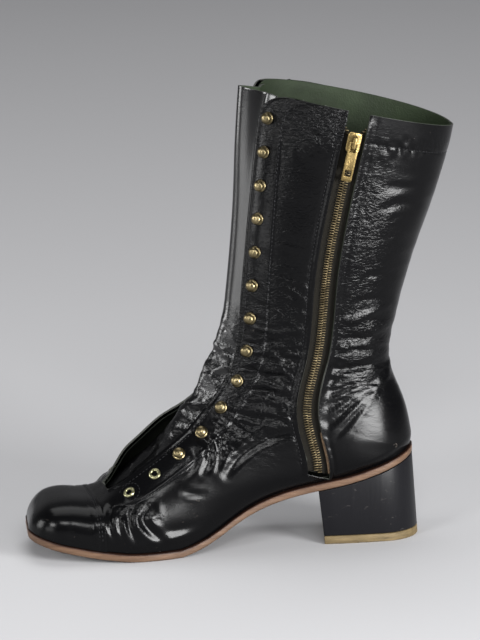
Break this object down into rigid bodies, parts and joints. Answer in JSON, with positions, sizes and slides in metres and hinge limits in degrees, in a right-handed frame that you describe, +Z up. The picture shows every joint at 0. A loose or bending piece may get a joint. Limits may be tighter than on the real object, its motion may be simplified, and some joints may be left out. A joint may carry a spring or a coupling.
{
  "type": "lace-up boot",
  "caption": "Square-toed mid-calf boot in glossy black leather, right foot: capped toe, lacing hooks over a tongue, inner side zip, thin leather sole and low block heel.",
  "frame": {"origin": "on the floor, under the middle of the boot's bounding box", "axes": "+Z up, -Y towards the toe, +X towards the other foot (the zip side)"},
  "size_m": [0.0923, 0.2884, 0.3065],
  "materials": {
    "black_patent_leather": "glossy patent, finely crinkled",
    "tan_sole_leather": "raw edge, satin",
    "black_heel_leather": "polished stacked leather",
    "ochre_lift_rubber": "matt",
    "green_lining_leather": "matt lining",
    "brass": "polished, slightly worn",
    "dark_zip_tape": "woven"
  },
  "bodies": {
    "boot": {"outsole": "tan_sole_leather", "heel_block": "black_heel_leather", "heel_top_lift": "ochre_lift_rubber", "insole": "green_lining_leather", "upper": "black_patent_leather", "toe_cap": "black_patent_leather", "tongue": "black_patent_leather", "zip_tape": "dark_zip_tape", "zip_chain": "brass", "zip_slider": "brass", "hook_inner_01": "brass", "hook_inner_02": "brass", "hook_inner_03": "brass", "hook_inner_04": "brass", "hook_inner_05": "brass", "hook_inner_06": "brass", "hook_inner_07": "brass", "hook_inner_08": "brass", "hook_inner_09": "brass", "hook_inner_10": "brass", "hook_inner_11": "brass", "hook_inner_12": "brass", "hook_outer_01": "brass", "hook_outer_02": "brass", "hook_outer_03": "brass", "hook_outer_04": "brass", "hook_outer_05": "brass", "hook_outer_06": "brass", "hook_outer_07": "brass", "hook_outer_08": "brass", "hook_outer_09": "brass", "hook_outer_10": "brass", "hook_outer_11": "brass", "hook_outer_12": "brass", "eyelet_inner_1": "brass", "eyelet_inner_2": "brass", "eyelet_outer_1": "brass", "eyelet_outer_2": "brass"},
    "zip_pull": {"zip_pull": "brass"}
  },
  "joints": [
    {"name": "pull_tab_hinge", "type": "hinge", "parent": "boot", "child": "zip_pull", "pos_m": [0.0454, 0.06749, 0.27403], "axis": [-0.043, -0.9788, 0.2003], "range_deg": [0, 165]}
  ]
}
